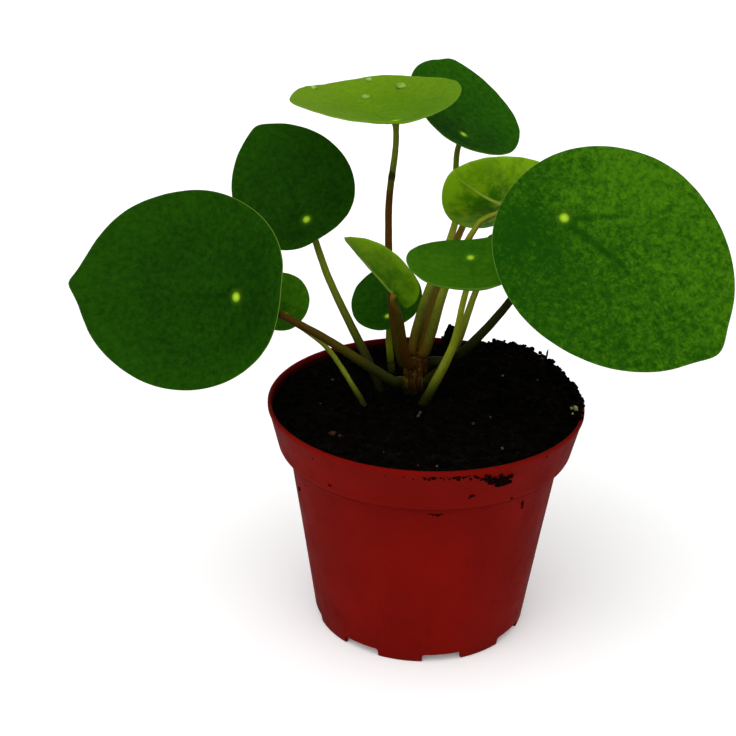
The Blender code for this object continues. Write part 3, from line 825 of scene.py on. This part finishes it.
def add_stem():
    way = (Vector(STEM_PATH[-1]) - Vector(STEM_PATH[-2])).normalized()
    path = smooth_path(STEM_PATH, way, 40)

    def radius_at(share, gone, whole):
        left = whole - gone
        dome = math.sqrt(max(0.0, 1 - max(0.0, 1 - left / STEM_DOME) ** 2))
        swell = 1 + 0.06 * math.exp(-(((left - 0.0035) / 0.004) ** 2))
        return max(0.0004, STEM_RADIUS * swell * dome)

    def relief(place, turn):
        """Streaks along the bark, its grain, and the scars of lost leaves."""
        stretched = Vector((place.x * 700, place.y * 700, place.z * 160))
        rough = 0.00008 * noise.noise(place * 300) + 0.00022 * noise.noise(stretched)
        rough += 0.00005 * noise.noise(place * 1100)
        for height, facing, rise in STEM_SCARS:
            level = math.exp(-(((place.z - height - 0.0006 * math.sin(turn - facing)) / 0.00038) ** 2))
            rough += rise * level * (0.65 + 0.35 * math.cos(turn - facing))
        return rough

    stem = sweep("stem_fine", path, radius_at, relief, STEM_SIDES, bark_material())
    return put(stem, SLOT_OF["stem"], "stem")


# Pot


def wall_radius(height):
    """Outer radius of the tapered wall below the band."""
    return FOOT_RADIUS + (WALL_TOP_RADIUS - FOOT_RADIUS) * height / WALL_TOP


def pot_profile():
    """From the middle of the inner floor, up the inside, over the rim, down and back underneath."""
    band_foot = POT_HEIGHT - BAND_HEIGHT
    raised = CHANNEL_HEIGHT + FLOOR
    step = FLOOR * 0.8
    return [
        (0.0, FLOOR),
        (HUB_RADIUS - step, FLOOR),
        (HUB_RADIUS + 0.0002, raised),
        (wall_radius(raised) - WALL, raised),
        (WALL_TOP_RADIUS - WALL, WALL_TOP),
        (WALL_TOP_RADIUS - WALL + 0.0009, WALL_TOP + 0.0010),
        (BAND_FOOT_RADIUS - WALL - 0.0010, band_foot + 0.0004),
        (BAND_FOOT_RADIUS - WALL, band_foot + 0.0014),
        (POT_RADIUS - WALL, POT_HEIGHT - 0.0003),
        (POT_RADIUS - WALL + 0.0001, POT_HEIGHT - 0.0001),
        (POT_RADIUS - WALL + 0.0003, POT_HEIGHT),
        (POT_RADIUS - 0.0003, POT_HEIGHT),
        (POT_RADIUS - 0.0001, POT_HEIGHT - 0.0001),
        (POT_RADIUS, POT_HEIGHT - 0.0003),
        (POT_RADIUS, POT_HEIGHT - LIP_HEIGHT),
        (POT_RADIUS - 0.0001, POT_HEIGHT - LIP_HEIGHT - 0.0002),
        (POT_RADIUS - LIP_PROUD, POT_HEIGHT - LIP_HEIGHT - 0.0004),
        (BAND_FOOT_RADIUS + 0.0003, band_foot + 0.0016),
        (BAND_FOOT_RADIUS + 0.0001, band_foot + 0.0008),
        (BAND_FOOT_RADIUS - 0.0002, band_foot + 0.0002),
        (BAND_FOOT_RADIUS - 0.0008, band_foot - 0.0001),
        (BAND_FOOT_RADIUS - 0.0014, band_foot - 0.0004),
        (WALL_TOP_RADIUS + 0.0018, WALL_TOP + 0.0008),
        (WALL_TOP_RADIUS + 0.0008, WALL_TOP + 0.0002),
        (WALL_TOP_RADIUS + 0.0002, WALL_TOP - 0.0004),
        (WALL_TOP_RADIUS - 0.0001, WALL_TOP - 0.0014),
        (wall_radius(0.030), 0.030),
        (FOOT_RADIUS + 0.0002, 0.0010),
        (FOOT_RADIUS, 0.0003),
        (FOOT_RADIUS - 0.0003, 0.0),
        (FOOT_RADIUS - WALL, 0.0),
        (wall_radius(CHANNEL_HEIGHT) - WALL - 0.0006, CHANNEL_HEIGHT),
        (HUB_RADIUS + step, CHANNEL_HEIGHT),
        (HUB_RADIUS, 0.0),
        (0.0, 0.0),
    ]


def turned(profile, sides):
    """A closed body from an outline in the XZ plane, turned round Z."""
    bm = bmesh.new()
    rings = []
    for radius, height in profile:
        turns = [2 * math.pi * side / sides for side in range(sides if radius else 1)]
        places = [(radius * math.cos(turn), radius * math.sin(turn), height) for turn in turns]
        rings.append([bm.verts.new(place) for place in places])
    for ring, after in zip(rings, rings[1:]):
        for side in range(sides):
            corners = [ring[side % len(ring)], ring[(side + 1) % len(ring)]]
            corners += [after[(side + 1) % len(after)], after[side % len(after)]]
            # A ring on the axis is one point, which the face then holds once
            bm.faces.new(dict.fromkeys(corners))
    return bm


def piece_of(name, bm):
    """An object made of the body in bm."""
    bmesh.ops.recalc_face_normals(bm, faces=bm.faces)
    mesh = bpy.data.meshes.new(name)
    bm.to_mesh(mesh)
    bm.free()
    return linked(name, mesh)


def ordered(bm):
    """The same body, its points and faces in an order that is the same in each run."""
    points = sorted(bm.verts, key=lambda vert: tuple(vert.co))
    place_of = {vert: index for index, vert in enumerate(points)}
    faces = []
    for face in bm.faces:
        corners = [place_of[vert] for vert in face.verts]
        first = corners.index(min(corners))
        faces.append(corners[first:] + corners[:first])
    result = bmesh.new()
    corners = [result.verts.new(point.co) for point in points]
    for face in sorted(faces):
        result.faces.new([corners[index] for index in face])
    bm.free()
    return result


def cut(piece, bm):
    """Takes the body in bm out of the piece."""
    cutter = piece_of("cutter", ordered(bm))
    boolean = piece.modifiers.new("Cut", "BOOLEAN")
    boolean.operation = "DIFFERENCE"
    boolean.solver = "EXACT"
    boolean.object = cutter
    bpy.context.view_layer.update()
    graph = bpy.context.evaluated_depsgraph_get()
    result = bpy.data.meshes.new_from_object(piece.evaluated_get(graph))
    piece.modifiers.clear()
    piece.data = result
    bpy.data.objects.remove(cutter)


def notches_and_drains():
    """Every notch and drain hole of the pot's foot, as one body."""
    radial, across, height = NOTCH_SIZE
    bm = bmesh.new()
    for index in range(NOTCHES):
        turn = math.radians(-90 + NOTCH_TURN + 360 * index / NOTCHES)
        outward = Vector((math.cos(turn), math.sin(turn), 0.0))
        middle = Matrix.Translation(outward * (FOOT_RADIUS - NOTCH_DEPTH + radial / 2))
        form = Matrix.Rotation(turn, 4, "Z") @ Matrix.Diagonal((radial, across, 2 * height, 1.0))
        box = bmesh.ops.create_cube(bm, size=1.0, matrix=middle @ form)
        edges = dict.fromkeys(edge for vert in box["verts"] for edge in vert.link_edges)
        rounded = [edge for edge in edges if any(vert.co.z > 0 for vert in edge.verts)]
        bmesh.ops.bevel(bm, geom=rounded, offset=0.0007, segments=3, affect="EDGES", profile=0.5)
        bmesh.ops.create_cone(
            bm, cap_ends=True, segments=28, radius1=DRAIN_RADIUS, radius2=DRAIN_RADIUS, depth=0.01,
            matrix=Matrix.Translation(outward * DRAIN_CIRCLE),
        )
    return bm


def pot_material():
    """Red, clouded and slightly soiled, with its inner wall darkened by damp peat."""
    shader = Shader("red_plastic", 0.45, Specular_IOR_Level=0.02)
    place = shader.position()
    x, y, z = place.parts()
    cloud = place.noise(45.0, detail=4.0).ease(0.3, 0.7)
    colour = cloud.blend((0.128, 0.0021, 0.0008), (0.156, 0.0026, 0.0009))
    film = place.noise(150.0, detail=6.0, roughness=0.7)
    soiled = film.ease(0.52, 0.75) * (z.ease(0.0, 0.02, 0.5, 0.0) + 0.22)
    colour = soiled.blend(colour, (0.045, 0.0025, 0.0015))
    slope = (POT_RADIUS - BAND_FOOT_RADIUS) / BAND_HEIGHT
    outside = z * slope + (BAND_FOOT_RADIUS - (POT_HEIGHT - BAND_HEIGHT) * slope)
    depth = outside - shader.join(x, y).length()
    inside = depth.ease(WALL * 0.35, WALL * 0.75, 0.0, 0.97) * z.ease(WALL_TOP, POT_HEIGHT - 0.008)
    inside = inside * z.ease(POT_HEIGHT - 0.0017, POT_HEIGHT - 0.0004, 1.0, 0.25)
    inside = inside * film.ease(0.25, 0.55, 0.90, 1.0)
    shader.look("Base Color", inside.blend(colour, (0.0060, 0.0012, 0.0008)))
    shader.look("Roughness", film.ease(0.3, 0.7, 0.38, 0.56))
    drawn = place.stretched((300.0, 300.0, 12.0)).noise(1.0, detail=2.0)
    shader.bump(place.noise(1800.0, roughness=0.6) + drawn, 0.00006, 0.5)
    return shader.material


def add_pot():
    pot = piece_of("pot_fine", turned(pot_profile(), POT_SIDES))
    cut(pot, notches_and_drains())
    pot.data.materials.clear()
    pot.data.materials.append(pot_material())
    pot.data.shade_smooth()
    pot.data.set_sharp_from_angle(angle=math.radians(40))
    return put(pot, SLOT_OF["pot"], "pot")


# Soil


def bump(x, y, middle_x, middle_y, rise, spread):
    distance = math.hypot(x - middle_x, y - middle_y)
    return rise * math.exp(-((distance / spread) ** 2))


def soil_form(x, y):
    """The main form of the soil's surface, as the solid has it, without its crumbs."""
    off_way = (math.degrees(math.atan2(y, x)) - HEAP_WAY) / HEAP_SPREAD
    heap = HEAP_RISE * (math.hypot(x, y) / HEAP_REACH) ** 1.5 * math.exp(-(off_way**2))
    return SOIL_LEVEL + heap + sum(bump(x, y, *sizes) for sizes in BUMPS)


def soil_height(x, y):
    """The same surface with its clods, crumbs and grain."""
    clods = abs(noise.noise(Vector((x * 240, y * 240, 2.0)))) * 0.0016
    crumbs = abs(noise.noise(Vector((x * 620, y * 620, 5.0)))) * 0.0009
    grain = noise.noise(Vector((x * 1700, y * 1700, 9.0))) * 0.00022
    return soil_form(x, y) + clods + crumbs + grain - 0.0008


def soil_material(name, dark, light):
    shader = Shader(name, 0.9, Specular_IOR_Level=0.02)
    place = shader.position()
    patches = place.noise(320.0, detail=6.0, roughness=0.7).ease(0.40, 0.70)
    shader.look("Base Color", patches.blend(dark, light))
    shader.bump(place.noise(2200.0, detail=5.0, roughness=0.7), 0.0004, 0.9)
    return shader.material


def add_soil():
    band_foot = POT_HEIGHT - BAND_HEIGHT
    raised = CHANNEL_HEIGHT + FLOOR + 0.0002
    inset = WALL + 0.0001
    top_radius = BAND_FOOT_RADIUS - inset + (POT_RADIUS - BAND_FOOT_RADIUS) * 0.8
    profile = [(top_radius * ring / SOIL_RINGS, SOIL_LEVEL) for ring in range(SOIL_RINGS + 1)]
    profile += [
        (BAND_FOOT_RADIUS - inset, band_foot + 0.0020),
        (WALL_TOP_RADIUS - inset, WALL_TOP + 0.0012),
        (WALL_TOP_RADIUS - inset - 0.0001, WALL_TOP - 0.0004),
        (wall_radius(raised) - inset - 0.0001, raised),
        (HUB_RADIUS - 0.0002, raised),
        (HUB_RADIUS - 0.0014, FLOOR + 0.0002),
        (0.0, FLOOR + 0.0002),
    ]
    bm = turned(profile, SOIL_SIDES)
    for point in bm.verts:
        if point.co.z > SOIL_LEVEL - 0.00001:
            point.co.z = soil_height(point.co.x, point.co.y)
    soil = piece_of("soil_fine", bm)
    soil.data.materials.append(soil_material("peat", (0.0008, 0.0006, 0.0004), (0.0036, 0.0026, 0.0017)))
    soil.data.shade_smooth()
    return put(soil, SLOT_OF["soil"], "soil")


def ball():
    """Corners and faces of a round body with a radius of 1."""
    bm = bmesh.new()
    bmesh.ops.create_icosphere(bm, subdivisions=2, radius=1.0)
    corners = [vert.co.copy() for vert in bm.verts]
    faces = [[vert.index for vert in face.verts] for face in bm.faces]
    bm.free()
    return corners, faces


def add_lumps(name, lumps, draw, material):
    """Crumbs from place, size and flatness, each a small ball pushed out of shape and turned at random."""
    corners, ball_faces = ball()
    points, faces = [], []
    for place, size, flat in lumps:
        turn = Matrix.Rotation(draw.uniform(0, 6.28), 3, "Z")
        tilt = Matrix.Rotation(draw.uniform(-0.6, 0.6), 3, "X")
        form = turn @ tilt @ Matrix.Diagonal((draw.uniform(0.7, 1.4), draw.uniform(0.7, 1.2), flat)) * size
        shift = Vector((draw.uniform(0, 50), draw.uniform(0, 50), 0))
        start = len(points)
        for corner in corners:
            push = 1 + 0.45 * noise.noise(corner * 1.3 + shift) + 0.2 * noise.noise(corner * 3.1 + shift)
            points.append(place + form @ (corner * push))
        faces += [[start + index for index in face] for face in ball_faces]
    return put(smooth_mesh(name, points, faces, [material]), "peat")


def on_soil(turn, radius, above=0.0):
    """A place on the soil, or above it."""
    x, y = radius * math.cos(turn), radius * math.sin(turn)
    return Vector((x, y, soil_height(x, y) + above))


def anywhere(draw, outer):
    """The turn and radius of a random place within the outer radius."""
    return draw.uniform(-math.pi, math.pi), math.sqrt(draw.uniform(0, outer**2))


def add_crumbs():
    """Crumbs all over the soil, clods on the heap and along its edge, and some on the pot's lip."""
    draw = random.Random(7)
    lumps = []
    for _ in range(CRUMBS):
        size = 0.00022 + 0.0008 * draw.random() ** 3
        lumps.append((on_soil(*anywhere(draw, 0.0425), size * 0.2), size, 0.7))
    for _ in range(HEAP_CLODS):
        turn = math.radians(HEAP_WAY + draw.gauss(0, 26))
        radius = draw.uniform(0.037, 0.0428)
        size = draw.uniform(0.0004, 0.0011)
        lumps.append((on_soil(turn, radius, size * 0.3), size, 0.9))
    for _ in range(EDGE_CLODS):
        turn = math.radians(draw.uniform(-14, 62))
        radius = draw.uniform(0.0405, 0.0430)
        size = 0.0003 + 0.0006 * draw.random() ** 2
        lumps.append((on_soil(turn, radius, size * 0.3 + draw.uniform(0, 0.0012)), size, 0.9))
    for _ in range(LIP_CLODS):
        turn = math.radians(draw.gauss(11, 11))
        radius = draw.uniform(0.0434, 0.0446)
        size = draw.uniform(0.0003, 0.0008)
        clod = Vector((radius * math.cos(turn), radius * math.sin(turn), POT_HEIGHT + size * 0.4))
        lumps.append((clod, size, 0.8))
    material = soil_material("peat_crumbs", (0.0010, 0.0008, 0.0005), (0.0060, 0.0040, 0.0025))
    return add_lumps("soil_crumbs", lumps, draw, material)


def thread(bm, path, radius, sides=5):
    """A thin fibre along the path."""
    rings = []
    side = (path[1] - path[0]).orthogonal().normalized()
    turns = [2 * math.pi * corner / sides for corner in range(sides)]
    for index, place in enumerate(path):
        ahead = (path[min(index + 1, len(path) - 1)] - path[max(index - 1, 0)]).normalized()
        side = (side - ahead * side.dot(ahead)).normalized()
        other = ahead.cross(side)
        thin = radius * (0.35 if index in (0, len(path) - 1) else 1.0)
        round_it = [side * math.cos(turn) + other * math.sin(turn) for turn in turns]
        rings.append([bm.verts.new(place + outward * thin) for outward in round_it])
    for ring, after in zip(rings, rings[1:]):
        for corner in range(sides):
            following = (corner + 1) % sides
            bm.faces.new((ring[corner], ring[following], after[following], after[corner]))
    bm.faces.new(rings[0][::-1])
    bm.faces.new(rings[-1])


# Bits that stand up at the edge of the heap
SPIKES = [
    # turn in degrees, radius, height, lean
    (31, 0.0425, 0.0032, 0.0003),
    (33, 0.0422, 0.0018, -0.0004),
    (21, 0.0425, 0.0010, 0.0008),
    (52, 0.0425, 0.0009, 0.0006),
    (70, 0.0418, 0.0011, -0.0006),
]


def add_fibres():
    draw = random.Random(21)
    bm = bmesh.new()
    for turn, radius, height, lean in SPIKES:
        foot = on_soil(math.radians(turn), radius)
        thread(bm, [foot + Vector((lean * up * up, 0, height * up)) for up in (0.0, 0.35, 0.7, 1.0)], 0.00030)
    for _ in range(FIBRES):
        place = on_soil(*anywhere(draw, 0.040))
        turn = draw.uniform(0, 6.28)
        path = []
        for _ in range(7):
            turn += draw.gauss(0, 0.35)
            place = place + Vector((math.cos(turn), math.sin(turn), 0)) * draw.uniform(0.0004, 0.0010)
            if math.hypot(place.x, place.y) < 0.0425:
                height = soil_height(place.x, place.y) + draw.uniform(0.0, 0.0003)
                path.append(Vector((place.x, place.y, height)))
        if len(path) > 2:
            thread(bm, path, draw.uniform(0.00005, 0.00013))
    fibres = piece_of("soil_fibres", bm)
    material = soil_material("peat_fibres", (0.0025, 0.0016, 0.0010), (0.0150, 0.0085, 0.0045))
    fibres.data.materials.append(material)
    fibres.data.shade_smooth()
    return put(fibres, "peat")


# Grit on the soil: x, y and size in mm
PALE_GRIT = [
    (13, -11, 0.45), (18, -8, 0.40), (-27, 16, 0.45), (-30, 0, 0.30), (20, -26, 0.42), (2, -38, 0.36),
    (-3, -37, 0.32), (-37, -21, 0.28), (33, 12, 0.36), (23, 14, 0.36), (-12, -30, 0.20), (-20, 30, 0.28),
]
RED_GRIT = [
    (-26, -20, 0.75), (-24, -20, 0.45), (33, 21, 0.55), (35, 20, 0.75), (25, 27, 0.45), (26, 26, 0.35),
]
GREEN_GRIT = [(42, -6, 0.9), (41, -5, 0.5), (41, -8, 0.4)]
GREEN_RAISED = 1.2  # the green bits lie on top of the edge clods


def add_grit():
    draw = random.Random(3)
    sliver = Vector((-0.002, -0.007, soil_height(-0.002, -0.007) + 0.0006))
    along = Vector((0.0003, 0.0009, 0.0001))
    sliver_lumps = [(sliver + along * step, 0.00040, 0.7) for step in (-1.4, -0.7, 0, 0.7, 1.4)]
    kinds = (
        ("grit_pale", PALE_GRIT, (0.020, 0.018, 0.015), (0.130, 0.125, 0.115), 0.0, sliver_lumps),
        ("grit_red", RED_GRIT, (0.008, 0.003, 0.002), (0.070, 0.030, 0.022), 0.0, []),
        ("grit_green", GREEN_GRIT, (0.160, 0.180, 0.050), (0.620, 0.640, 0.260), GREEN_RAISED, []),
    )
    for name, places, dark, light, raised, more in kinds:
        lumps = []
        for x, y, size in places:
            height = soil_height(x * MM, y * MM) + (size * 0.7 + raised) * MM
            lumps.append((Vector((x * MM, y * MM, height)), size * MM, 0.8))
        add_lumps("soil_" + name, lumps + more, draw, soil_material(name, dark, light))


# Soil stuck to the outside of the pot, in degrees and mm
SMEARS = [
    # turn, height, spread round, spread up, number of crumbs, their size
    (-97, 66.5, 1.4, 0.3, 16, 0.4), (-91, 66.3, 2.0, 0.3, 34, 0.5), (-85, 66.9, 1.8, 0.4, 26, 0.5),
    (-78, 66.6, 2.0, 0.4, 34, 0.6), (-71, 65.6, 1.2, 0.5, 26, 0.6), (-65, 63.8, 1.1, 0.8, 55, 0.9),
    (-63, 62.8, 0.6, 0.5, 20, 0.9), (-69, 64.8, 1.0, 0.4, 18, 0.7), (-87, 52.8, 1.3, 0.3, 26, 0.5),
    (-160, 45, 0.3, 0.4, 6, 0.5), (-47, 50, 0.3, 0.6, 9, 0.5), (-75, 60, 0.3, 0.3, 4, 0.5),
    (-135, 65, 0.4, 0.3, 3, 0.4), (-128, 58, 0.3, 0.3, 3, 0.4), (-105, 66, 0.4, 0.3, 3, 0.4),
    (-45, 67, 0.5, 0.3, 5, 0.5), (-150, 50, 0.2, 0.2, 2, 0.4), (-58, 56, 0.2, 0.2, 2, 0.4),
]


def pot_surface(turn, height):
    """A point on the outside of the pot."""
    band_foot = POT_HEIGHT - BAND_HEIGHT
    if height > band_foot:
        share = (height - band_foot) / BAND_HEIGHT
        radius = BAND_FOOT_RADIUS + (POT_RADIUS - LIP_PROUD - BAND_FOOT_RADIUS) * share
    else:
        radius = wall_radius(height)
    return Vector((radius * math.cos(turn), radius * math.sin(turn), height))


def add_smears():
    draw = random.Random(11)
    lumps = []
    for turn, height, round_spread, up_spread, count, size in SMEARS:
        for _ in range(count):
            here = math.radians(turn) + draw.gauss(0, round_spread) * MM / POT_RADIUS
            place = pot_surface(here, min(POT_HEIGHT - 0.0012, (height + draw.gauss(0, up_spread)) * MM))
            lumps.append((place, draw.uniform(0.35, 1.0) * size * MM, 0.8))
    material = soil_material("smears", (0.0015, 0.0008, 0.0005), (0.0070, 0.0020, 0.0012))
    return add_lumps("pot_smears", lumps, draw, material)


# Floor, light and camera
FLOOR_SIZE = 60.0
BACKDROP_RADIUS = 45
WORLD_LIGHT = 0.35
SUNS = [
    # name, way that it shines, how wide it looks in degrees, strength, whether gloss shows it
    ("key", (0.45, 0.60, -0.95), 70, 1.0, False),
    ("fill", (-0.1, 0.3, -1.0), 140, 1.9, False),
    ("sheen", (0.45, 0.45, -0.95), 30, 0.2, True),
]


def add_floor():
    half = FLOOR_SIZE / 2
    corners = [(-half, -half, 0), (half, -half, 0), (half, half, 0), (-half, half, 0)]
    pale = Shader("floor", 0.9, Base_Color=(0.95, 0.95, 0.95), Emission_Strength=0.10)
    floor = smooth_mesh("floor", corners, [(0, 1, 2, 3)], [pale.material])
    floor.visible_glossy = False


def add_backdrop():
    """A white dome far behind everything, which only the camera sees."""
    corners, faces = ball()
    white = Shader("backdrop", 1.0, Base_Color=(0.0, 0.0, 0.0), Specular_IOR_Level=0.0)
    white.look("Emission Color", (1.0, 1.0, 1.0))
    white.look("Emission Strength", 1.0)
    far = [corner * BACKDROP_RADIUS for corner in corners]
    dome = smooth_mesh("backdrop", far, faces, [white.material])
    for ray in ("diffuse", "glossy", "transmission", "volume_scatter", "shadow"):
        setattr(dome, "visible_" + ray, False)


def add_camera():
    elevation = math.radians(CAMERA_ELEVATION)
    back = Vector((0, -math.cos(elevation), math.sin(elevation)))
    camera = linked("camera", bpy.data.cameras.new("camera"))
    camera.data.lens = CAMERA_LENS
    camera.data.clip_start = 0.01
    camera.location = Vector(CAMERA_TARGET) + back * CAMERA_DISTANCE
    level = (-back).to_track_quat("-Z", "Y").to_matrix()
    camera.rotation_euler = (level @ Matrix.Rotation(math.radians(CAMERA_ROLL), 3, "Z")).to_euler()
    bpy.context.scene.camera = camera


def add_sun(name, way, width, strength, in_gloss):
    light = bpy.data.lights.new(name, "SUN")
    light.angle = math.radians(width)
    light.energy = strength
    lamp = linked(name, light)
    lamp.rotation_euler = Vector(way).to_track_quat("-Z", "Y").to_euler()
    lamp.visible_glossy = in_gloss


def light_the_scene():
    world = bpy.data.worlds.new("studio")
    world.use_nodes = True
    sky = world.node_tree.nodes["Background"]
    sky.inputs["Color"].default_value = (1.0, 1.0, 1.0, 1.0)
    sky.inputs["Strength"].default_value = WORLD_LIGHT
    bpy.context.scene.world = world
    for sun in SUNS:
        add_sun(*sun)
    bpy.context.scene.view_settings.view_transform = "Standard"


add_pot()
add_soil()
add_crumbs()
add_fibres()
add_grit()
add_smears()
add_stem()
blade_materials = {kind: [upper_material(kind), lower_material(kind)] for kind in FINISHES}
for plant_leaf in LEAVES:
    add_blade(plant_leaf, blade_materials)
    add_stalk(plant_leaf)
    if plant_leaf.name == "top":
        add_drops(plant_leaf)
add_floor()
add_backdrop()
add_camera()
light_the_scene()
